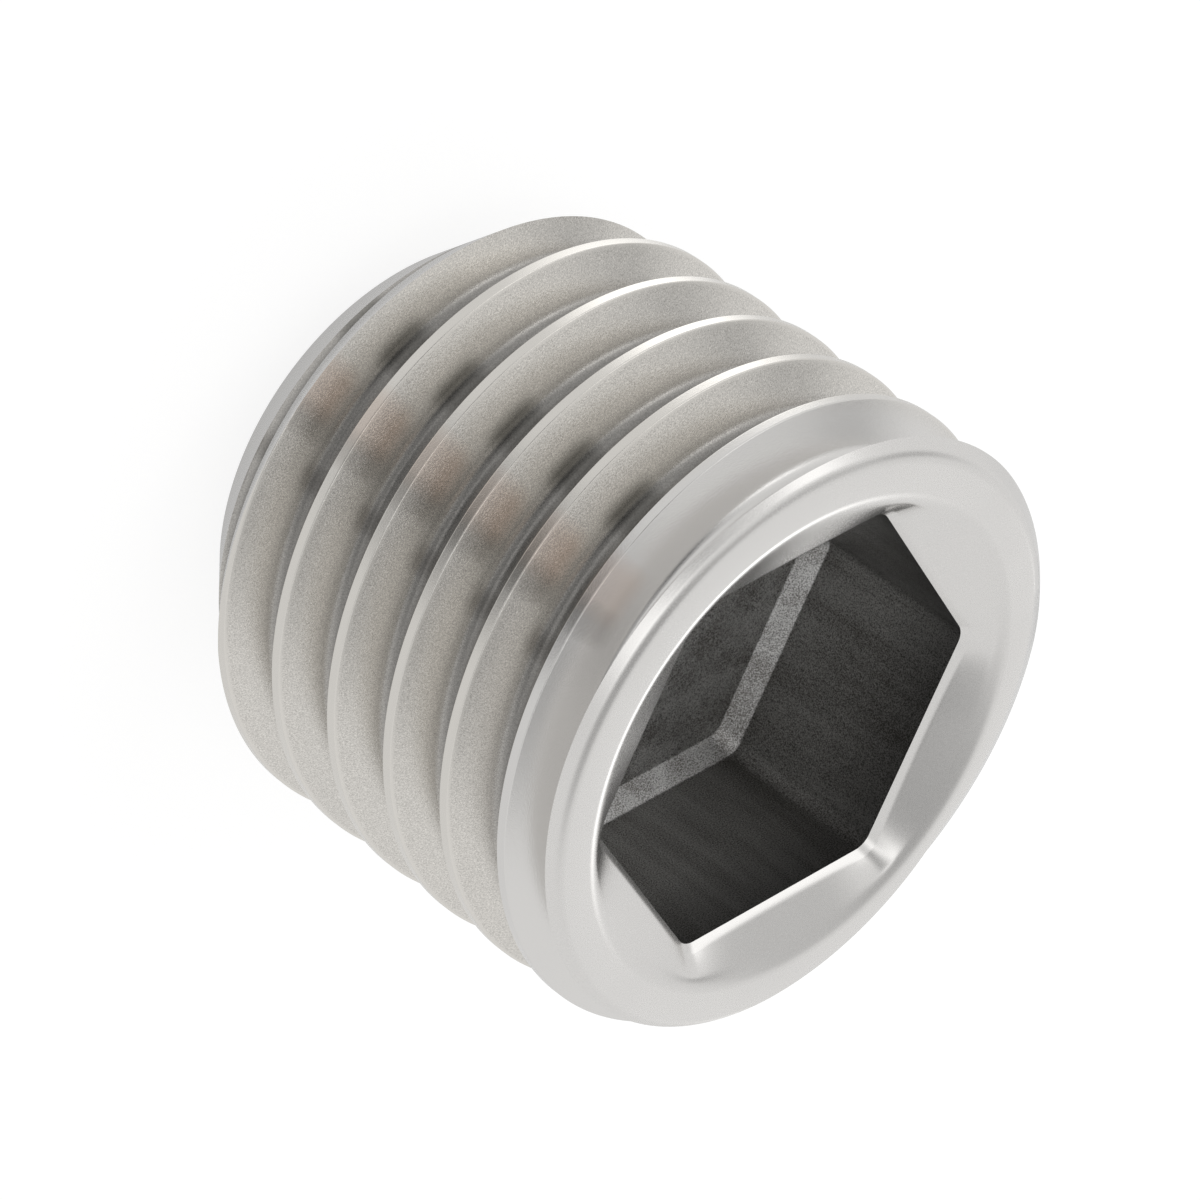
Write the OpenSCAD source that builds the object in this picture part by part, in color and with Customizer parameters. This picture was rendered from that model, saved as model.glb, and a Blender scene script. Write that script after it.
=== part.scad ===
// Grub screw with a hexagon socket and a flat point
//
// The screw stands on its point at z = 0, with its axis along z and the
// socket facing up. One corner of the hexagon lies on the x axis.

/* [Thread] */
// Diameter over the crests of the thread
thread_d = 16; // [15:0.5:24]
// Distance from one turn to the next along the axis
pitch = 2; // [1.5:0.25:2.5]
// Height of the first crest above the point, on the x axis
first_crest = 0.49; // [0.2:0.01:1.4]
// How far the upper wall of the last groove is pushed down at the socket end
groove_closing = 0.46; // [0:0.02:0.46]

/* [Body] */
// Length from the point to the socket face
length = 14; // [12:0.5:40]
// Diameter of the flat point
point_d = 12; // [9:0.2:13]
// Angle between the taper of the point and the axis
point_angle = 40; // [30:1:50]
// Height of the chamfer at the socket end, which is as wide as it is high
head_chamfer = 0.44; // [0.3:0.02:1]
// Radius of the round between that chamfer and the socket face
head_round = 0.5; // [0.1:0.05:0.9]

/* [Socket] */
// Distance across the flats of the hexagon
socket_af = 10; // [6:0.5:10]
// Depth from the socket face to the lower end of the flats
flat_depth = 5.25; // [3:0.05:7]
// Radius of the fillets in the corners of the hexagon
corner_fillet = 0.5; // [0.2:0.05:1]
// Width and height of the bevel between the flats and the floor
floor_bevel = 0.45; // [0.2:0.05:0.8]
// Width and height of the bevel along the mouth of the hexagon
mouth_bevel = 0.15; // [0.1:0.05:0.4]

/* [Countersink] */
// Depth of the hexagon's mouth below the socket face
sink_depth = 0.58; // [0.4:0.02:1]
// Diameter of the circle where the six facets of the countersink end
sink_d = 12.6; // [12.2:0.1:13.4]
// Width of the soft lip between that circle and the socket face
lip_width = 0.25; // [0.1:0.05:0.5]
// Depth of that lip
lip_depth = 0.1; // [0.04:0.02:0.3]

/* [Hidden] */

// Proportions of the 60 degree metric profile
thread_r = thread_d / 2;
thread_depth = 5 / 8 * pitch * sqrt(3) / 2;
root_r = thread_r - thread_depth;
crest_w = pitch / 8;
flank_rise = thread_depth * tan(30);

// Crests that the profile needs so that it runs past both ends of the screw
crest_low = floor(-first_crest / pitch) - 1;
crest_high = ceil((length - first_crest) / pitch);
facets = 72;
past_end = pitch;

// The last groove closes while its upper crest rises past the socket face
closing_start = length - 0.04 * pitch;
closing_lead = 0.25 * pitch;

// Heights and radii of the hexagon and its countersink
ledge_z = length - sink_depth;
flats_end_z = length - flat_depth;
mouth_scale = 1 + 2 * mouth_bevel / socket_af;
fillet_steps = 4;
flat_steps = 8;
round_steps = 5;
overlap = 0.01;

// Smooth step from 0 to 1 while t goes from 0 to 1
function smooth(t) = let (u = min(1, max(0, t))) u * u * (3 - 2 * u);

// Drop of a crest's lower flank, for a crest at height z
function closing(z) = groove_closing * smooth((z - closing_start) / closing_lead);

// Radius and height of the four edges of the ridge whose crest is at height z
function ridge(z) = [
    [root_r, z - crest_w / 2 - flank_rise - closing(z)],
    [thread_r, z - crest_w / 2 - closing(z)],
    [thread_r, z + crest_w / 2],
    [root_r, z + crest_w / 2 + flank_rise]
];

// Points on an arc from angle a to angle b
function arc(centre, r, a, b, steps) = [
    for (i = [0:steps])
        let (t = a + (b - a) * i / steps)
            centre + r * [cos(t), sin(t)]
];

// Outline of a hexagon whose corners are rounded by a radius
function round_hexagon(across_flats, r) = [
    for (side = [0:5])
        let (reach = (across_flats - 2 * r) / sqrt(3))
            each arc(reach * [cos(60 * side), sin(60 * side)], r,
                     60 * side - 30, 60 * side + 30, fillet_steps)
];

// Outline of the hexagon's mouth, with points along its flats as well
mouth = [
    let (outline = mouth_scale * round_hexagon(socket_af, corner_fillet), count = len(outline))
        for (i = [0:count - 1])
            let (
                on_flat = i % (fillet_steps + 1) == fillet_steps,
                steps = on_flat ? flat_steps : 1,
                from = outline[i],
                to = outline[(i + 1) % count]
            )
                for (step = [0:steps - 1])
                    from + (to - from) * step / steps
];

// Points of an outline at one height
function at_height(outline, z) = [for (point = outline) [point[0], point[1], z]];

// Points on a circle, in the same directions as the points of an outline
function on_circle(outline, r) = [for (point = outline) r * point / norm(point)];

// Threaded rod: one long helical ridge, which runs past both ends
module threaded_rod() {
    rows = 4 * (crest_high - crest_low + 1);
    columns = [
        for (i = [0:facets - 1])
            let (turn = 360 * i / facets)
                [
                    for (k = [crest_low:crest_high])
                        for (edge = ridge(first_crest + pitch * (k + i / facets)))
                            [edge[0] * cos(turn), edge[0] * sin(turn), edge[1]]
                ]
    ];
    points = concat(
        [for (column = columns) each column],
        [[0, 0, -past_end], [0, 0, length + past_end]]
    );
    low_centre = facets * rows;
    high_centre = low_centre + 1;
    last = (facets - 1) * rows;

    // Between two columns of points, turning round the axis
    sides = [
        for (i = [0:facets - 2])
            for (j = [0:rows - 2])
                let (a = i * rows + j, b = a + rows)
                    each [[a, a + 1, b + 1], [a, b + 1, b]]
    ];
    // The last column meets the first one a pitch higher
    seam = [
        for (j = [0:rows - 6])
            let (a = last + j, b = j + 4)
                each [[a, a + 1, b + 1], [a, b + 1, b]]
    ];
    low_edge = concat(
        [for (i = [0:facets - 1]) i * rows],
        [for (j = [4:-1:1]) j]
    );
    high_edge = concat(
        [for (i = [0:facets - 1]) i * rows + rows - 1],
        [for (j = [2:5]) last + rows - j]
    );
    low_cap = [
        for (i = [0:len(low_edge) - 1])
            [low_edge[i], low_edge[(i + 1) % len(low_edge)], low_centre]
    ];
    high_cap = [
        for (i = [0:len(high_edge) - 1])
            [high_edge[(i + 1) % len(high_edge)], high_edge[i], high_centre]
    ];
    polyhedron(points, concat(sides, seam, low_cap, high_cap));
}

// Turned blank: the flat point with its taper and the chamfered socket end
module blank() {
    clear_r = thread_r + 1;
    point_r = point_d / 2;
    taper_h = (clear_r - point_r) / tan(point_angle);
    face_r = thread_r - head_chamfer;
    tangent = head_round * tan(22.5);
    rotate_extrude($fn = facets)
        polygon(concat(
            [[0, 0], [point_r, 0], [clear_r, taper_h]],
            [[clear_r, length - (clear_r - face_r)]],
            arc([face_r - tangent, length - head_round], head_round, 45, 90, round_steps),
            [[0, length]]
        ));
}

// Space of the hexagon socket, down to its bevelled floor
module hexagon() {
    outline = round_hexagon(socket_af, corner_fillet);
    floor_scale = 1 - 2 * floor_bevel / socket_af;
    translate([0, 0, flats_end_z])
        linear_extrude(height = ledge_z - flats_end_z + overlap)
            polygon(outline);
    translate([0, 0, flats_end_z + overlap])
        mirror([0, 0, 1])
            linear_extrude(height = floor_bevel + overlap, scale = floor_scale)
                polygon(outline);
}

// Space of the countersink: the bevel of the hexagon's mouth, then six facets
// out to a circle, then the lip, which runs on past the socket face
module countersink() {
    count = len(mouth);
    circle_r = sink_d / 2;
    bottom_z = ledge_z - mouth_bevel - overlap;
    bottom_scale = (1 - 2 * overlap / socket_af) / mouth_scale;
    top_z = length + lip_depth / 2;
    rings = [
        at_height(bottom_scale * mouth, bottom_z),
        at_height(mouth, ledge_z),
        at_height(on_circle(mouth, circle_r), length - lip_depth),
        at_height(on_circle(mouth, circle_r + 1.5 * lip_width), top_z)
    ];
    points = concat(
        [for (ring = rings) each ring],
        [[0, 0, bottom_z], [0, 0, top_z]]
    );
    low_centre = len(rings) * count;
    high_centre = low_centre + 1;
    top = low_centre - count;
    sides = [
        for (j = [0:len(rings) - 2])
            for (i = [0:count - 1])
                let (a = j * count + i, b = j * count + (i + 1) % count)
                    each [[a, a + count, b + count], [a, b + count, b]]
    ];
    low_cap = [for (i = [0:count - 1]) [i, (i + 1) % count, low_centre]];
    high_cap = [for (i = [0:count - 1]) [top + (i + 1) % count, top + i, high_centre]];
    polyhedron(points, concat(sides, low_cap, high_cap));
}

module grub_screw() {
    color([0.72, 0.71, 0.69])
        difference() {
            intersection() {
                threaded_rod();
                blank();
            }
            hexagon();
            countersink();
        }
}

grub_screw();
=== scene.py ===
"""Looks of a grub screw with a hexagon socket, over its CAD frame.

The screw stands on its point, with its axis along z and one corner of the
hexagon on the x axis, as in the CAD model. Lengths are in metres, apart from
those of patterns, painted reflections and fades in the materials, which are in
millimetres.
"""

import math

import bpy
import numpy as np
from mathutils import Matrix, Vector


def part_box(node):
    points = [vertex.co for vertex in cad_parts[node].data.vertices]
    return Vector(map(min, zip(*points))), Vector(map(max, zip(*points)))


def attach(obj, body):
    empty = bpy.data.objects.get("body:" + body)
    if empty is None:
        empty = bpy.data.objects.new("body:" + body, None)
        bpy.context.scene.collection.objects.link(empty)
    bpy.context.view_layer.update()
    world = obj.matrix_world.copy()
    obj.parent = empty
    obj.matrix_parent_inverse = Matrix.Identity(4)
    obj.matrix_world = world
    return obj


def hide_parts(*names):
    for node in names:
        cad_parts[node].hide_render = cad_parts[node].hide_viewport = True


bl_info = {
    "name": "Grub Screw",
    "version": (1, 0, 0),
    "blender": (4, 5, 0),
    "location": "3D View > Sidebar > Grub Screw",
    "description": "Builds a grub screw with a machined steel finish, and a studio to show it in",
    "category": "Add Mesh",
}

NODE = "grub_screw"
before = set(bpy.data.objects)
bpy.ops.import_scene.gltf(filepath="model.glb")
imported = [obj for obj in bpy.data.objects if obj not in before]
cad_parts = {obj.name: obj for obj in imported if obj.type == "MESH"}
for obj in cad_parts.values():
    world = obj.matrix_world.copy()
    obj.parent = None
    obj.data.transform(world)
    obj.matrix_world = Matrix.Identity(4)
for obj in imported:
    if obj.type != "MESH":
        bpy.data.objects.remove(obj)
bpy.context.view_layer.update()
LENGTH = float(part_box(NODE)[1][2])

MM = 1000.0
COS_30 = math.cos(math.radians(30))
TAN_30 = math.tan(math.radians(30))

# Soft patches on the studio's dome: azimuth from the front, elevation and
# radius in degrees, softness, and how much brighter than the dome, below 0
# where darker
CARDS = (
    (-34, 36, 15, 0.015, -0.75),
    (27, 36, 7, 0.006, -0.6),
    (-133, 34, 9, 0.01, -0.5),
    (118, 83, 22, 0.05, -0.5),
    (-133, 58, 12, 0.03, -0.37),
    (180, 13, 9, 0.01, 1.4),
    (-85, 37, 11, 0.015, 0.9),
    (0, 60, 13, 0.03, 0.8),
)
# The patch of the dome that is dimmed low down in front, in the same order
FRONT = (0, 0, 50, 0.2)
# Patches that the steel sees on the floor: azimuth from the front in degrees,
# distance from the axis, radius and softness in millimetres, and brightness
FLOOR_CARDS = (
    (4, 23, 7, 4, 0.15),
    (-82, 17, 6, 3, 1.7),
    # The patch round the axis is a painted shadow of the screw's foot, which only the steel sees
    (0, 0, 7, 1.5, 0.5),
)
# The floor's own grey, its glow, and the glow that the steel sees
FLOOR_GREY = 0.32
FLOOR_GLOW = 0.8
FLOOR_SEEN_GLOW = 0.78

# Features per millimetre of the steel's slow drifts, fine grain and streaks;
# along the axis the streaks have only this share of theirs
DRIFT_SCALE = 0.35
GRAIN_SCALE = 28.0
STREAK_SCALE = 0.9
STREAK_ALONG_AXIS = 0.12
# How much drifts and streaks change the tone, and drifts and grain the gloss
DRIFT_TONE = 0.12
STREAK_TONE = 1.6
DRIFT_GLOSS = 0.1
GRAIN_GLOSS = 0.15
# How softly the stained side of the streaks starts
STAIN_FADE = 0.12
# Height of the grain's relief in metres
GRAIN_RELIEF = 0.00001

# Painted shade in the roots: its strength at the root, how far out it thins to
# nothing, and the height above the point where it starts
ROOT_SHADE_COLOUR = (0.02, 0.02, 0.022)
ROOT_SHADE_STRENGTH = 0.66
ROOT_SHADE_REACH = 0.5
ROOT_SHADE_START = 1.0
ROOT_SHADE_START_FADE = 0.4
# Painted highlight on the crest: how far in from the crest it reaches, and how
# much brighter than the thread's colour it is
CREST_REACH = 0.07
CREST_FADE = 0.03
PAINTED_CREST_HIGHLIGHT = 1.1
# Clean last turn: how far below the socket face it starts
CLEAN_TURN = 2.1
CLEAN_TURN_FADE = 0.25
# Painted reflections on the thread, dark in the roots and brownish and darker
# higher up: azimuth from the x axis and half width in degrees, range of
# distances from the axis, how far below the socket face the highest one ends,
# and what they do to the colour
PAINTED_REFLECTIONS = (
    (-67.2, 5.5, 6.8, 7.3, CLEAN_TURN, (0.55, 0.55, 0.54)),
    (-35.7, 2.0, 6.8, 7.2, CLEAN_TURN, (0.58, 0.57, 0.56)),
    (-51.7, 5.0, 7.3, 8.3, 0.9, (0.95, 0.88, 0.84)),
    (-45.2, 2.5, 7.3, 8.3, 0.9, (0.72, 0.71, 0.70)),
)
# How softly the painted reflections end at their sides, in degrees, and
# inwards and outwards
REFLECTION_SIDE_FADE = 1.5
REFLECTION_FADE = 0.15
# Painted shade in the mouth of the hexagon: how much darker, how far below the
# socket face that is half reached, and how softly it comes
MOUTH_SHADE = 0.6
MOUTH_SHADE_DEPTH = 1.6
MOUTH_SHADE_FADE = 1.2


# Sizes, finish and stage, as a user would change them


class ThreadSizes(bpy.types.PropertyGroup):
    """Sizes of the helical thread."""

    diameter: bpy.props.FloatProperty(
        name="Diameter", description="Diameter over the crests",
        default=0.016, min=0.001, unit="LENGTH")
    pitch: bpy.props.FloatProperty(
        name="Pitch", description="Distance from one turn to the next along the axis",
        default=0.002, min=0.0001, unit="LENGTH")
    first_crest: bpy.props.FloatProperty(
        name="First crest", description="Height of the first crest above the point, on the x axis",
        default=0.00049, unit="LENGTH")
    closing: bpy.props.FloatProperty(
        name="Groove closing", description="How far the last groove's upper wall is pushed down",
        default=0.00046, min=0.0, unit="LENGTH")
    crest_round: bpy.props.FloatProperty(
        name="Crest round", description="Radius along the edges of the crest",
        default=0.00004, min=0.0, unit="LENGTH")
    root_round: bpy.props.FloatProperty(
        name="Root round", description="Radius along the edges of the root",
        default=0.00036, min=0.0, unit="LENGTH")
    columns: bpy.props.IntProperty(
        name="Columns", description="Number of steps in one turn",
        default=360, min=24)


class BodySizes(bpy.types.PropertyGroup):
    """Sizes of the turned blank that the thread is cut in."""

    point_diameter: bpy.props.FloatProperty(
        name="Point diameter", description="Diameter of the flat point",
        default=0.012, min=0.001, unit="LENGTH")
    point_angle: bpy.props.FloatProperty(
        name="Point angle", description="Angle between the taper of the point and the axis",
        default=math.radians(40), subtype="ANGLE")
    point_round: bpy.props.FloatProperty(
        name="Point round", description="Radius along the edge of the flat point",
        default=0.00012, min=0.0, unit="LENGTH")
    head_chamfer: bpy.props.FloatProperty(
        name="Head chamfer", description="Width and height of the chamfer at the socket end",
        default=0.00044, min=0.0, unit="LENGTH")
    head_round: bpy.props.FloatProperty(
        name="Head round", description="Radius between that chamfer and the socket face",
        default=0.0005, min=0.0, unit="LENGTH")


class SocketSizes(bpy.types.PropertyGroup):
    """Sizes of the hexagon socket and its countersink."""

    across_flats: bpy.props.FloatProperty(
        name="Across flats", description="Distance across the flats of the hexagon",
        default=0.010, min=0.001, unit="LENGTH")
    flat_depth: bpy.props.FloatProperty(
        name="Depth of flats", description="Depth from the socket face to the end of the flats",
        default=0.00525, min=0.001, unit="LENGTH")
    corner_fillet: bpy.props.FloatProperty(
        name="Corner fillet", description="Radius in the corners of the hexagon",
        default=0.0005, min=0.0, unit="LENGTH")
    floor_bevel: bpy.props.FloatProperty(
        name="Floor bevel", description="Width and height of the bevel round the floor",
        default=0.00045, min=0.0, unit="LENGTH")
    mouth_bevel: bpy.props.FloatProperty(
        name="Mouth bevel", description="Width and height of the bevel along the hexagon's mouth",
        default=0.00015, min=0.0, unit="LENGTH")
    sink_depth: bpy.props.FloatProperty(
        name="Countersink depth", description="Depth of the hexagon's mouth below the socket face",
        default=0.00058, min=0.0, unit="LENGTH")
    sink_diameter: bpy.props.FloatProperty(
        name="Countersink diameter", description="Diameter of the circle where the six facets end",
        default=0.0126, min=0.001, unit="LENGTH")
    lip_width: bpy.props.FloatProperty(
        name="Lip width", description="Width of the soft lip between that circle and the face",
        default=0.00025, min=0.0, unit="LENGTH")
    lip_depth: bpy.props.FloatProperty(
        name="Lip depth", description="Depth of that lip",
        default=0.0001, min=0.0, unit="LENGTH")


class SteelFinish(bpy.types.PropertyGroup):
    """Colours and gloss of the steel."""

    thread_colour: bpy.props.FloatVectorProperty(
        name="Thread colour", description="Colour of the rolled thread",
        subtype="COLOR", size=3, default=(0.68, 0.658, 0.62), min=0.0, max=1.0)
    face_colour: bpy.props.FloatVectorProperty(
        name="Face colour", description="Colour of the turned ends",
        subtype="COLOR", size=3, default=(0.74, 0.727, 0.71), min=0.0, max=1.0)
    # Kept dark as painted shade inside the hexagon's recess
    shaded_socket_colour: bpy.props.FloatVectorProperty(
        name="Socket colour", description="Colour inside the hexagon",
        subtype="COLOR", size=3, default=(0.36, 0.357, 0.35), min=0.0, max=1.0)
    socket_stain: bpy.props.FloatVectorProperty(
        name="Socket stain", description="Tint of the darker streaks inside the hexagon",
        subtype="COLOR", size=3, default=(1.0, 0.95, 0.9), min=0.0, max=1.0)
    thread_roughness: bpy.props.FloatProperty(
        name="Thread roughness", description="Roughness of the rolled thread",
        default=0.2, min=0.0, max=1.0, subtype="FACTOR")
    face_roughness: bpy.props.FloatProperty(
        name="Face roughness", description="Roughness of the turned ends",
        default=0.26, min=0.0, max=1.0, subtype="FACTOR")
    socket_roughness: bpy.props.FloatProperty(
        name="Socket roughness", description="Roughness inside the hexagon",
        default=0.42, min=0.0, max=1.0, subtype="FACTOR")


class StageSettings(bpy.types.PropertyGroup):
    """Camera and light."""

    azimuth: bpy.props.FloatProperty(
        name="Azimuth", description="Direction of the camera round the axis, from the x axis",
        default=math.radians(-49.188), subtype="ANGLE")
    elevation: bpy.props.FloatProperty(
        name="Elevation", description="Height of the camera over the floor",
        default=math.radians(35.417), subtype="ANGLE")
    roll: bpy.props.FloatProperty(
        name="Roll", description="Turn of the camera about its own view",
        default=math.radians(125.566), subtype="ANGLE")
    distance: bpy.props.FloatProperty(
        name="Distance", description="Distance of the camera from what it looks at",
        default=0.17889, unit="LENGTH")
    target: bpy.props.FloatVectorProperty(
        name="Target", description="Point that the camera looks at",
        subtype="XYZ", unit="LENGTH", default=(0.0, 0.0, 0.00687))
    lens: bpy.props.FloatProperty(
        name="Lens", description="Focal length in millimetres, on a sensor of 36 mm",
        default=226.7)
    world_strength: bpy.props.FloatProperty(
        name="World strength", description="Brightness of the studio's white dome",
        default=0.85, min=0.0)
    front_dimming: bpy.props.FloatProperty(
        name="Front dimming", description="How much darker the dome is low down in front",
        default=0.5, min=0.0, max=1.0, subtype="FACTOR")


# Surfaces


def rounded_corners(corners, radii, steps=3, support=0.00005):
    """Outline through the corners, with each inner corner replaced by a curve.

    Between the two points where a circle of the corner's radius would touch
    its legs, the outline is the parabola (1-t)^2 a + 2t(1-t) corner + t^2 b.
    A support point lies just outside each end of it, so that shading stays
    flat along the legs.
    """
    corners = np.asarray(corners, float)
    outline = [corners[:1]]
    for before, corner, after, radius in zip(corners, corners[1:], corners[2:], radii):
        back = (before - corner) / np.linalg.norm(before - corner)
        on = (after - corner) / np.linalg.norm(after - corner)
        half_turn = (math.pi - math.acos(float(np.clip(back @ on, -1, 1)))) / 2
        reach = radius * math.tan(half_turn)
        t = np.linspace(0, 1, steps + 1)[:, None]
        a = corner + back * reach
        b = corner + on * reach
        curve = (1 - t) ** 2 * a + 2 * t * (1 - t) * corner + t ** 2 * b
        outline.append(np.vstack([a + back * support, curve, b + on * support]))
    outline.append(corners[-1:])
    return np.vstack(outline)


def arc(centre, radius, start, end, steps):
    """Points centre + radius (cos a, sin a), with a from start to end in degrees."""
    a = np.radians(np.linspace(start, end, steps + 1))
    return np.asarray(centre) + radius * np.column_stack([np.cos(a), np.sin(a)])


def soft_curve(points, steps):
    """Curve past a row of points, from the first to the last.

    Between the middles a and b of two legs that meet in a point c it is the
    parabola (1-t)^2 a + 2t(1-t) c + t^2 b, and the outer halves of the first
    and last legs are straight.
    """
    points = np.asarray(points)
    middles = (points[1:] + points[:-1]) / 2
    t = np.linspace(0, 1, steps + 1).reshape((-1,) + (1,) * (points.ndim - 1))
    rows = [points[:1]]
    for a, c, b in zip(middles, points[1:], middles[1:]):
        rows.append((1 - t) ** 2 * a + 2 * t * (1 - t) * c + t ** 2 * b)
    rows.append(points[-1:])
    return np.concatenate(rows)


def smooth_step(t):
    """0 below 0, 1 above 1, and 3t^2 - 2t^3 between."""
    t = np.clip(t, 0, 1)
    return t * t * (3 - 2 * t)


def about_axis(angle, reach, height):
    """Points (reach cos a, reach sin a, height), in a column for each angle a."""
    angle = angle[:, None]
    parts = np.broadcast_arrays(reach * np.cos(angle), reach * np.sin(angle), height)
    return np.stack(parts, -1)


def closed_grid(columns, low_centre, high_centre, shift=0):
    """Vertices, quads and end triangles of a closed surface round the z axis.

    columns[i, j] is the point of column i in row j, with columns turning
    anticlockwise and rows rising. The last column meets the first, `shift`
    rows higher. A fan of triangles to each centre closes the ends.
    """
    count, rows = columns.shape[:2]
    vertices = np.vstack([columns.reshape(-1, 3), low_centre, high_centre])
    index = np.arange(count * rows).reshape(count, rows)
    low_pole = count * rows
    high_pole = low_pole + 1

    def strip(left, right):
        return np.column_stack([
            left[..., :-1].ravel(), right[..., :-1].ravel(),
            right[..., 1:].ravel(), left[..., 1:].ravel()])

    def fan(start, end, pole):
        return np.column_stack([start, end, np.full(len(start), pole)])

    quads = np.vstack([
        strip(index[:-1], index[1:]),
        strip(index[-1:, :rows - shift], index[:1, shift:])])
    low_edge = np.concatenate([index[:, 0], index[0, shift:0:-1], index[:1, 0]])
    high_edge = np.concatenate([
        index[:, -1], index[-1, rows - 2:rows - 2 - shift:-1], index[:1, -1]])
    fans = np.vstack([
        fan(low_edge[1:], low_edge[:-1], low_pole),
        fan(high_edge[:-1], high_edge[1:], high_pole)])
    return vertices, quads, fans


def add_surface(name, surface, material):
    """Puts a closed surface into a new mesh object, with whole arrays."""
    vertices, quads, fans = surface
    mesh = bpy.data.meshes.new(name)
    loops = np.concatenate([quads.ravel(), fans.ravel()])
    starts = np.concatenate([
        np.arange(len(quads)) * 4,
        len(quads) * 4 + np.arange(len(fans)) * 3])
    mesh.vertices.add(len(vertices))
    mesh.vertices.foreach_set("co", vertices.astype(np.float32).ravel())
    mesh.loops.add(len(loops))
    mesh.loops.foreach_set("vertex_index", loops.astype(np.int32))
    mesh.polygons.add(len(starts))
    mesh.polygons.foreach_set("loop_start", starts.astype(np.int32))
    mesh.update(calc_edges=True)
    mesh.materials.append(material)
    piece = bpy.data.objects.new(name, mesh)
    bpy.context.collection.objects.link(piece)
    return piece


def thread_depth(thread):
    """Height of the ridge, 5/8 of that of a sharp profile of 60 degrees."""
    return 5 / 8 * thread.pitch * COS_30


def threaded_rod(thread):
    """A rod with a helical ridge, longer than the screw at both ends.

    The ridge's outline is a corner (radius, height from the crest) plus an
    offset from it for each point. A point of turn k at angle a stands at
    height first_crest + pitch (k + a / 360 degrees) + its corner's height +
    its offset, less the closing of the last groove for points on the ridge's
    lower side. Offsets at the root shrink with the width of its groove.
    """
    radius = thread.diameter / 2
    root = radius - thread_depth(thread)
    rise = thread_depth(thread) * TAN_30
    half_crest = thread.pitch / 16
    half_root = thread.pitch / 8
    corners = np.array([
        [root, -half_crest - rise - half_root],
        [root, -half_crest - rise],
        [radius, -half_crest],
        [radius, half_crest],
        [root, half_crest + rise],
        [root, half_crest + rise + half_root]])
    # The two rounds of a root leave at least this much flat on each side
    least_flat = 0.00001
    root_round = min(thread.root_round * TAN_30, half_root - least_flat) / TAN_30
    radii = [root_round, thread.crest_round, thread.crest_round, root_round]
    outline = rounded_corners(corners, radii, steps=6, support=0.000005)[1:-1]
    to_a_corner = len(outline) // 4
    corner = np.repeat(corners[1:5], to_a_corner, axis=0)
    offset = outline - corner
    low = np.repeat([1.0, 1.0, 0.0, 0.0], to_a_corner)
    at_root = np.repeat([1.0, 0.0, 0.0, 1.0], to_a_corner)
    closing_start = LENGTH - 0.04 * thread.pitch
    closing_lead = 0.25 * thread.pitch

    def closing(crest):
        return thread.closing * smooth_step((crest - closing_start) / closing_lead)

    first = math.floor(-thread.first_crest / thread.pitch) - 1
    last = math.ceil((LENGTH - thread.first_crest) / thread.pitch)
    turns = np.arange(first, last + 1)[None, :, None]
    part_turn = np.arange(thread.columns) / thread.columns
    crest = thread.first_crest + thread.pitch * (turns + part_turn[:, None, None])
    groove = np.where(low == 1, crest, crest + thread.pitch)
    shrink = 1 - at_root * closing(groove) / (2 * half_root)
    height = crest + corner[:, 1] + shrink * offset[:, 1] - low * closing(crest)
    reach = corner[:, 0] + shrink * offset[:, 0]
    reach, height = (part.reshape(thread.columns, -1) for part in (reach, height))
    columns = about_axis(2 * math.pi * part_turn, reach, height)
    return closed_grid(
        columns, (0, 0, -thread.pitch), (0, 0, LENGTH + thread.pitch), shift=len(outline))


def revolved(outline, count):
    """The outline of (radius, height) points turned round the z axis.

    The outline starts and ends on the axis, and rises.
    """
    angle = 2 * math.pi * np.arange(count) / count
    columns = about_axis(angle, outline[1:-1, 0], outline[1:-1, 1])
    return closed_grid(columns, (0, 0, outline[0, 1]), (0, 0, outline[-1, 1]))


def turned_blank(body, thread):
    """The screw without its thread and socket: point, taper, chamfer and face.

    Taper and chamfer run on to a radius that clears the thread.
    """
    radius = thread.diameter / 2
    clearance = 0.001
    clear = radius + clearance
    point = body.point_diameter / 2
    taper = (clear - point) / math.tan(body.point_angle)
    face = radius - body.head_chamfer
    tangent = body.head_round * math.tan(math.radians(22.5))
    foot = rounded_corners([[0, 0], [point, 0], [clear, taper]], [body.point_round])
    head = arc(
        [face - tangent, LENGTH - body.head_round], body.head_round, start=45, end=90, steps=12)
    outline = np.vstack([
        foot, [[clear, LENGTH - (clear - face)]], head, [[0, LENGTH]]])
    return revolved(outline, thread.columns)


def fillet_place(across_flats, fillet):
    """Distance of a fillet's centre from the axis, and the angle from corner to fillet's end."""
    centre = (across_flats - 2 * fillet) / math.sqrt(3)
    return centre, math.atan2(fillet / 2, centre + fillet * COS_30)


def hexagon_radius(angle, across_flats, fillet):
    """Distance from the axis to a hexagon with filleted corners, at an angle.

    Off the corners it is half the width across flats over the cosine of the
    angle from the nearest flat's middle. On a fillet it is where the ray
    meets the fillet's circle.
    """
    from_corner = np.abs((angle + math.pi / 6) % (math.pi / 3) - math.pi / 6)
    flat = across_flats / 2 / np.cos(math.pi / 6 - from_corner)
    centre, end = fillet_place(across_flats, fillet)
    beside = np.clip(centre * np.sin(from_corner) / fillet, -1, 1)
    round_corner = centre * np.cos(from_corner) + fillet * np.sqrt(1 - beside ** 2)
    return np.where(from_corner < end, round_corner, flat)


def socket_angles(across_flats, fillet, on_fillet=10, on_flat=36):
    """Angles round the axis, closer together on the hexagon's fillets."""
    _, end = fillet_place(across_flats, fillet)
    side = np.concatenate([
        np.linspace(-end, end, on_fillet, endpoint=False),
        np.linspace(end, math.pi / 3 - end, on_flat, endpoint=False)])
    return (side[None] + math.pi / 3 * np.arange(6)[:, None]).ravel()


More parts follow.
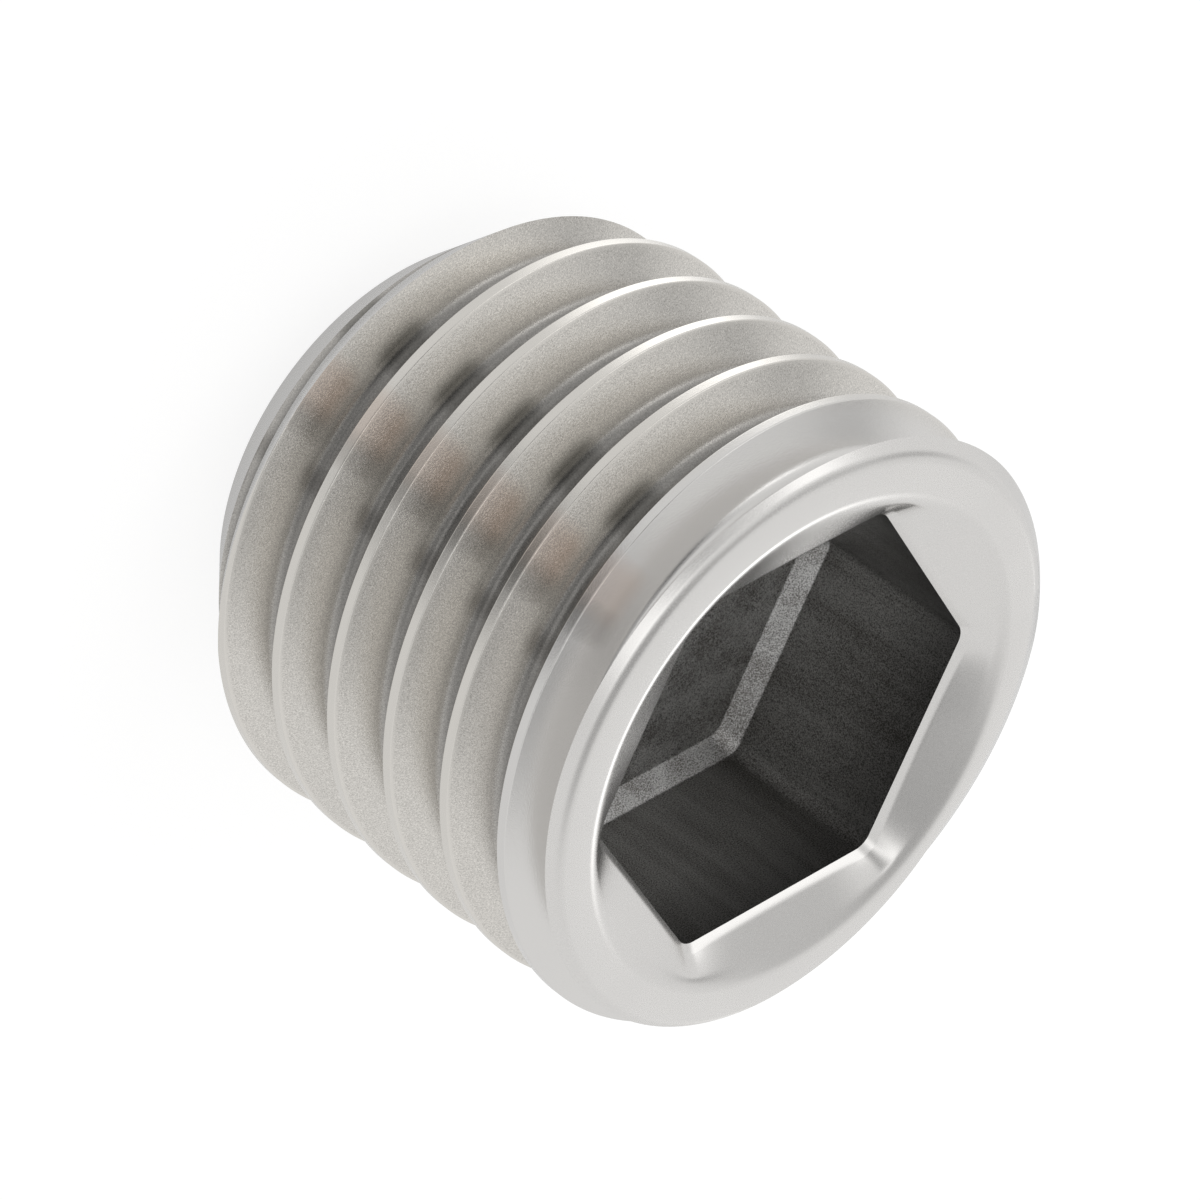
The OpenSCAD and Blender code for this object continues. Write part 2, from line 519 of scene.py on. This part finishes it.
def socket_space(socket):
    """The space of the socket, and which of its quads lie above the hexagon.

    Each row is a ring. A ring's radius at an angle is that of a filleted
    hexagon as wide as the row says, or of a circle. The rows run from the
    floor up its bevel, the flats and the mouth's bevel, straight out along
    the facets of the countersink, and over its soft lip to the face.
    """
    angle = socket_angles(socket.across_flats, socket.corner_fillet)
    mouth = LENGTH - socket.sink_depth
    flats_end = LENGTH - socket.flat_depth
    half = socket.across_flats / 2
    floor = flats_end - socket.floor_bevel
    edge_round = 0.00008
    just_over_face = LENGTH + 0.000001
    over_face = LENGTH + 0.0005

    def ring(reach, height):
        return np.stack([np.broadcast_to(reach, angle.shape), np.full(angle.shape, height)], -1)

    hexagon = rounded_corners(
        [[0, floor],
         [half - socket.floor_bevel, floor],
         [half, flats_end],
         [half, mouth - socket.mouth_bevel]],
        [edge_round, edge_round], support=0.00003)[1:]
    walls = [
        ring(hexagon_radius(angle, 2 * width, socket.corner_fillet), height)
        for width, height in hexagon]

    edge = hexagon_radius(angle, 2 * (half + socket.mouth_bevel), socket.corner_fillet)
    circle = socket.sink_diameter / 2
    lip_end = circle + 1.8 * socket.lip_width
    foot, lip = ring(edge, mouth), ring(circle, LENGTH - socket.lip_depth)
    # A facet is straight between these shares of its way out
    facet_start, facet_end = (foot + (lip - foot) * share for share in (0.08, 0.75))
    mouth_rows = soft_curve([walls[-1], foot, facet_start], steps=3)[1:]
    lip_rows = soft_curve(
        [facet_end, lip, ring(circle + socket.lip_width, LENGTH), ring(lip_end, just_over_face)],
        steps=5)
    rows = np.concatenate([walls, mouth_rows, lip_rows, ring(lip_end, over_face)[None]])
    columns = about_axis(angle, rows[..., 0].T, rows[..., 1].T)
    surface = closed_grid(columns, (0, 0, floor), (0, 0, over_face))
    row = np.arange(len(surface[1])) % (len(rows) - 1)
    return surface, row >= len(walls) - 1


def combine(piece, tool, operation):
    """Cuts a piece with a tool, or keeps what both share, and deletes the tool."""
    modifier = piece.modifiers.new(operation.title(), "BOOLEAN")
    modifier.operation = operation
    modifier.solver = "MANIFOLD"
    modifier.material_mode = "TRANSFER"
    modifier.object = tool
    result = bpy.data.meshes.new_from_object(
        piece.evaluated_get(bpy.context.evaluated_depsgraph_get()))
    piece.modifiers.clear()
    old = piece.data
    piece.data = result
    bpy.data.meshes.remove(old)
    tool_mesh = tool.data
    bpy.data.objects.remove(tool)
    bpy.data.meshes.remove(tool_mesh)


# Materials


def rgba(colour, factor=1.0):
    """Colour times a factor, up to 1 in each channel, with full alpha."""
    return (*(min(1.0, channel * factor) for channel in colour), 1.0)


WHITE = rgba((1, 1, 1))
BLACK = rgba((0, 0, 0))


class Value:
    """A socket that varies over a surface. Arithmetic on it adds Math nodes."""

    def __init__(self, shader, socket):
        self.shader = shader
        self.socket = socket

    def maths(self, operation, *values):
        return self.shader.node(
            "ShaderNodeMath", {"operation": operation}, dict(enumerate(values)))

    def __add__(self, other):
        return self.maths("ADD", self, other)

    __radd__ = __add__

    def __sub__(self, other):
        return self.maths("SUBTRACT", self, other)

    def __rsub__(self, other):
        return self.maths("SUBTRACT", other, self)

    def __mul__(self, other):
        return self.maths("MULTIPLY", self, other)

    __rmul__ = __mul__

    def clamped(self):
        return self.maths("MINIMUM", self.maths("MAXIMUM", self, 0.0), 1.0)

    def above(self, level, soft):
        """0 below level - soft, 1 above level + soft, and straight between."""
        return (0.5 / soft * (self - (level - soft))).clamped()


class Shader:
    """Builds the nodes of one material or of the world."""

    def __init__(self, owner):
        owner.use_nodes = True
        self.tree = owner.node_tree
        self.tree.nodes.clear()

    def node(self, kind, settings=None, inputs=None, output=0):
        """Adds a node, applies its settings, feeds its sockets and returns an output."""
        node = self.tree.nodes.new(kind)
        for name, setting in (settings or {}).items():
            setattr(node, name, setting)
        for name, value in (inputs or {}).items():
            self.feed(node.inputs[name], value)
        return Value(self, node.outputs[output]) if node.outputs else None

    def feed(self, socket, value):
        if isinstance(value, Value):
            self.tree.links.new(value.socket, socket)
        else:
            socket.default_value = value

    def mix(self, factor, first, second, blend="MIX"):
        """Mixes two colours: sockets 6 and 7 are the node's colours, and output 2 its result."""
        return self.node(
            "ShaderNodeMix", {"data_type": "RGBA", "blend_type": blend},
            {"Factor": factor, 6: first, 7: second}, output=2)

    def vector(self, operation, *values, output="Vector"):
        return self.node(
            "ShaderNodeVectorMath", {"operation": operation}, dict(enumerate(values)), output)

    def noise(self, place, scale, detail, roughness=0.5):
        return self.node(
            "ShaderNodeTexNoise", None,
            {"Vector": place, "Scale": scale, "Detail": detail, "Roughness": roughness})

    def place(self):
        """Place on the piece, in millimetres."""
        metres = self.node("ShaderNodeTexCoord", output="Object")
        return self.vector("MULTIPLY", metres, (MM, MM, MM))

    def glow(self, strength):
        return self.node("ShaderNodeEmission", None, {"Color": WHITE, "Strength": strength})


class Steel(Shader):
    """Bare steel whose colour, gloss and relief follow slow drifts and a fine grain."""

    def __init__(self, name):
        self.material = bpy.data.materials.new(name)
        super().__init__(self.material)
        self.spot = self.place()
        self.drift = self.noise(self.spot, DRIFT_SCALE, detail=3.0)
        self.grain = self.noise(self.spot, GRAIN_SCALE, detail=3.0, roughness=0.7)

    def height(self):
        """Height above the point, in millimetres."""
        return self.node("ShaderNodeSeparateXYZ", None, {0: self.spot}, output="Z")

    def tone(self, speckle):
        """Tone round 0.5; speckle is how much the grain changes it."""
        return 0.5 + DRIFT_TONE * (self.drift - 0.5) + speckle * (self.grain - 0.5)

    def finished(self, colours, roughness, relief):
        """The material, with these colours; relief is how strongly its grain stands out."""
        gloss = roughness + GRAIN_GLOSS * (self.grain - 0.5) + DRIFT_GLOSS * (self.drift - 0.5)
        bump = self.node(
            "ShaderNodeBump", None,
            {"Strength": relief, "Distance": GRAIN_RELIEF, "Height": self.grain})
        metal = self.node("ShaderNodeBsdfPrincipled", None, {
            "Base Color": colours, "Metallic": 1.0, "Roughness": gloss.clamped(), "Normal": bump})
        self.node("ShaderNodeOutputMaterial", None, {"Surface": metal})
        return self.material


def speckled(steel, colour, spread, tone):
    """A colour made darker or brighter by up to its spread, as the tone says."""
    return steel.mix(tone.clamped(), rgba(colour, 1 - spread), rgba(colour, 1 + spread))


def turned_steel(finish):
    """Steel of the point, the rim, the socket face and the countersink."""
    steel = Steel("turned_steel")
    colours = speckled(steel, finish.face_colour, spread=0.2, tone=steel.tone(speckle=0.8))
    return steel.finished(colours, finish.face_roughness, relief=0.1)


def punched_steel(finish):
    """Steel inside the hexagon, with streaks along the axis and painted shade, darkest in its
    mouth.

    The dark side of the streaks is stained.
    """
    steel = Steel("punched_steel")
    spread = 0.6
    drawn_out = steel.vector("MULTIPLY", steel.spot, (1.0, 1.0, STREAK_ALONG_AXIS))
    streaks = steel.noise(drawn_out, STREAK_SCALE, detail=4.0, roughness=0.6)
    tone = steel.tone(speckle=4.5) + STREAK_TONE * (streaks - 0.5)
    # The socket's colour is dark as painted shade of the recess
    bare = rgba(finish.shaded_socket_colour, 1 - spread)
    stained = rgba(np.multiply(finish.shaded_socket_colour, finish.socket_stain), 1 - spread)
    dark = steel.mix(streaks.above(0.5, STAIN_FADE), stained, bare)
    colours = steel.mix(tone.clamped(), dark, rgba(finish.shaded_socket_colour, 1 + spread))
    # Painted shade, darkening the walls towards the hexagon's mouth
    in_mouth = steel.height().above(MM * LENGTH - MOUTH_SHADE_DEPTH, MOUTH_SHADE_FADE)
    colours = steel.mix(MOUTH_SHADE * in_mouth, colours, BLACK)
    return steel.finished(colours, finish.socket_roughness, relief=0.5)


def rolled_steel(finish, thread):
    """Steel of the thread, with painted shade at its root and painted reflections on it.

    The crest is brighter as a painted highlight, and the last turn at the socket end is clean.
    """
    steel = Steel("rolled_steel")
    colours = speckled(steel, finish.thread_colour, spread=0.45, tone=steel.tone(speckle=1.7))
    crest = MM * thread.diameter / 2
    root = crest - MM * thread_depth(thread)
    top = MM * LENGTH
    level = steel.vector("MULTIPLY", steel.spot, (1.0, 1.0, 0.0))
    reach = steel.vector("LENGTH", level, output="Value")
    outward = steel.vector("NORMALIZE", level)
    height = steel.height()

    # Painted shade in the roots of the thread, darkest at the root and thinning outwards
    at_root = 1 - reach.above(root + ROOT_SHADE_REACH / 2, ROOT_SHADE_REACH / 2)
    root_shade = at_root * height.above(ROOT_SHADE_START, ROOT_SHADE_START_FADE)
    colours = steel.mix(ROOT_SHADE_STRENGTH * (root_shade * root_shade), colours, rgba(ROOT_SHADE_COLOUR))
    # Painted highlight: the crest is brighter than the thread's colour
    at_crest = reach.above(crest - CREST_REACH, CREST_FADE)
    colours = steel.mix(at_crest, colours, rgba(finish.thread_colour, PAINTED_CREST_HIGHLIGHT))
    in_last_turn = height.above(top - CLEAN_TURN, CLEAN_TURN_FADE)
    colours = steel.mix(in_last_turn, colours, rgba(finish.face_colour))

    # Painted reflections, each multiplied into the colour at its azimuth and distances from the
    # axis
    for azimuth, half_width, low, high, end, change in PAINTED_REFLECTIONS:
        around = math.radians(azimuth)
        middle = (math.cos(around), math.sin(around), 0.0)
        edge, outer_edge = (
            math.cos(math.radians(half_width + more)) for more in (0, REFLECTION_SIDE_FADE))
        near = steel.vector("DOT_PRODUCT", outward, middle, output="Value")
        painted_reflection = near.above(edge, edge - outer_edge)
        painted_reflection = painted_reflection * reach.above(low, REFLECTION_FADE) * (1 - reach.above(high, REFLECTION_FADE))
        painted_reflection = painted_reflection * (1 - height.above(top - end, CLEAN_TURN_FADE))
        colours = steel.mix(painted_reflection, colours, rgba(change), "MULTIPLY")
    return steel.finished(colours, finish.thread_roughness, relief=0.4)


def studio_floor(azimuth):
    """Matt grey under a white glow that keeps the shadow faint.

    The steel sees it as a white glow with soft patches, each at an azimuth
    from the front and a distance from the axis.
    """
    material = bpy.data.materials.new("studio_floor")
    shader = Shader(material)
    place = shader.place()
    reflected = shader.glow(FLOOR_SEEN_GLOW)
    for turn, distance, radius, soft, strength in FLOOR_CARDS:
        around = azimuth + math.radians(turn)
        middle = (distance * math.cos(around), distance * math.sin(around), 0.0)
        outside = shader.vector("DISTANCE", place, middle, output="Value").above(radius, soft)
        reflected = shader.node(
            "ShaderNodeMixShader", None, {0: outside, 1: shader.glow(strength), 2: reflected})
    matt = shader.node("ShaderNodeBsdfDiffuse", None, {"Color": rgba((FLOOR_GREY,) * 3)})
    plain = shader.node("ShaderNodeAddShader", None, {0: matt, 1: shader.glow(FLOOR_GLOW)})
    glossy = shader.node("ShaderNodeLightPath", output="Is Glossy Ray")
    surface = shader.node("ShaderNodeMixShader", None, {0: glossy, 1: plain, 2: reflected})
    shader.node("ShaderNodeOutputMaterial", None, {"Surface": surface})
    return material


# Stage


def view_axes(azimuth, elevation, roll=0.0):
    """Right, up and backward directions of a camera that looks at the target."""
    back = np.array([
        math.cos(elevation) * math.cos(azimuth),
        math.cos(elevation) * math.sin(azimuth),
        math.sin(elevation)])
    level = np.cross((0, 0, 1), back)
    level /= np.linalg.norm(level)
    upright = np.cross(back, level)
    right = math.cos(roll) * level + math.sin(roll) * upright
    up = math.cos(roll) * upright - math.sin(roll) * level
    return right, up, back


def add_camera(stage):
    """A camera that looks at the target from the stage's distance and direction."""
    right, up, back = view_axes(stage.azimuth, stage.elevation, stage.roll)
    data = bpy.data.cameras.new("camera")
    data.sensor_width = 36.0
    data.lens = stage.lens
    data.clip_start = 0.01
    data.clip_end = 10.0
    camera = bpy.data.objects.new("camera", data)
    place = Matrix.Identity(4)
    for column, axis in enumerate((right, up, back)):
        place.col[column][:3] = axis
    place.col[3][:3] = Vector(stage.target) + stage.distance * Vector(back)
    camera.matrix_world = place
    bpy.context.collection.objects.link(camera)
    bpy.context.scene.camera = camera


def add_softbox(name, azimuth, elevation, distance, size, power):
    """A square area lamp that faces the screw, with its direction in degrees."""
    _, _, back = view_axes(math.radians(azimuth), math.radians(elevation))
    data = bpy.data.lights.new(name, "AREA")
    data.shape = "SQUARE"
    data.size = size
    data.energy = power
    lamp = bpy.data.objects.new(name, data)
    centre = Vector((0, 0, LENGTH / 2))
    lamp.location = centre + distance * Vector(back)
    lamp.rotation_euler = Vector(back).to_track_quat("Z", "Y").to_euler()
    bpy.context.collection.objects.link(lamp)


def add_world(stage):
    """A white dome with soft dark and bright patches, dimmer low down in front.

    Each patch lies at an azimuth from the front and an elevation, in
    degrees, and fades over the cosine of the angle from its middle.
    """
    world = bpy.data.worlds.new("studio")
    bpy.context.scene.world = world
    shader = Shader(world)
    direction = shader.node("ShaderNodeTexCoord", output="Generated")

    def patch(azimuth, elevation, radius, soft):
        _, _, middle = view_axes(stage.azimuth + math.radians(azimuth), math.radians(elevation))
        cosine = shader.vector("DOT_PRODUCT", direction, tuple(middle), output="Value")
        return cosine.above(math.cos(math.radians(radius)), soft)

    light = 1 - stage.front_dimming * patch(*FRONT)
    for *place, brighter in CARDS:
        light = light * (1 + brighter * patch(*place))
    dome = shader.node("ShaderNodeBackground", None, {
        "Color": WHITE, "Strength": stage.world_strength * light})
    shader.node("ShaderNodeOutputWorld", None, {"Surface": dome})


# Operators


class SCREW_OT_body(bpy.types.Operator):
    """Builds the grub screw: thread, point, rim and hexagon socket in one solid"""

    bl_idname = "grub_screw.body"
    bl_label = "Build Screw"

    def execute(self, context):
        scene = context.scene
        thread, finish = scene.screw_thread, scene.screw_finish
        turned = turned_steel(finish)
        screw = add_surface("screw", threaded_rod(thread), rolled_steel(finish, thread))
        blank = add_surface("blank", turned_blank(scene.screw_body, thread), turned)
        combine(screw, blank, "INTERSECT")
        surface, above_hexagon = socket_space(scene.screw_socket)
        space = add_surface("socket_space", surface, punched_steel(finish))
        space.data.materials.append(turned)
        slots = np.zeros(len(space.data.polygons), np.int32)
        slots[:len(above_hexagon)] = above_hexagon
        space.data.polygons.foreach_set("material_index", slots)
        combine(screw, space, "DIFFERENCE")
        screw.data.shade_smooth()
        screw.data.set_sharp_from_angle(angle=math.radians(28))
        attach(screw, "root")
        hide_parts(NODE)
        return {"FINISHED"}


class SCREW_OT_stage(bpy.types.Operator):
    """Builds the floor, the lights and the camera"""

    bl_idname = "grub_screw.stage"
    bl_label = "Build Stage"

    def execute(self, context):
        stage = context.scene.screw_stage
        bpy.ops.mesh.primitive_plane_add(size=2.0)
        floor = context.object
        floor.name = "floor"
        floor.data.materials.append(studio_floor(stage.azimuth))
        add_world(stage)
        add_softbox("key", azimuth=-49.0, elevation=58.0, distance=0.30, size=0.08, power=0.006)
        add_camera(stage)
        context.scene.view_settings.view_transform = "Standard"
        return {"FINISHED"}


class SCREW_PT_panel(bpy.types.Panel):
    """Sizes, finish and stage of the grub screw"""

    bl_idname = "SCREW_PT_panel"
    bl_label = "Grub Screw"
    bl_space_type = "VIEW_3D"
    bl_region_type = "UI"
    bl_category = "Grub Screw"

    def draw(self, context):
        layout = self.layout
        for group in GROUPS:
            box = layout.box()
            settings = getattr(context.scene, group)
            for name in settings.__annotations__:
                box.prop(settings, name)
        for operator in (SCREW_OT_body, SCREW_OT_stage):
            layout.operator(operator.bl_idname)


GROUPS = {
    "screw_thread": ThreadSizes,
    "screw_body": BodySizes,
    "screw_socket": SocketSizes,
    "screw_finish": SteelFinish,
    "screw_stage": StageSettings,
}
CLASSES = (*GROUPS.values(), SCREW_OT_body, SCREW_OT_stage, SCREW_PT_panel)


def register():
    for cls in CLASSES:
        bpy.utils.register_class(cls)
    for name, group in GROUPS.items():
        setattr(bpy.types.Scene, name, bpy.props.PointerProperty(type=group))


def unregister():
    for name in GROUPS:
        delattr(bpy.types.Scene, name)
    for cls in reversed(CLASSES):
        bpy.utils.unregister_class(cls)


def main():
    register()
    bpy.ops.grub_screw.body()
    bpy.ops.grub_screw.stage()


if __name__ == "__main__":
    main()
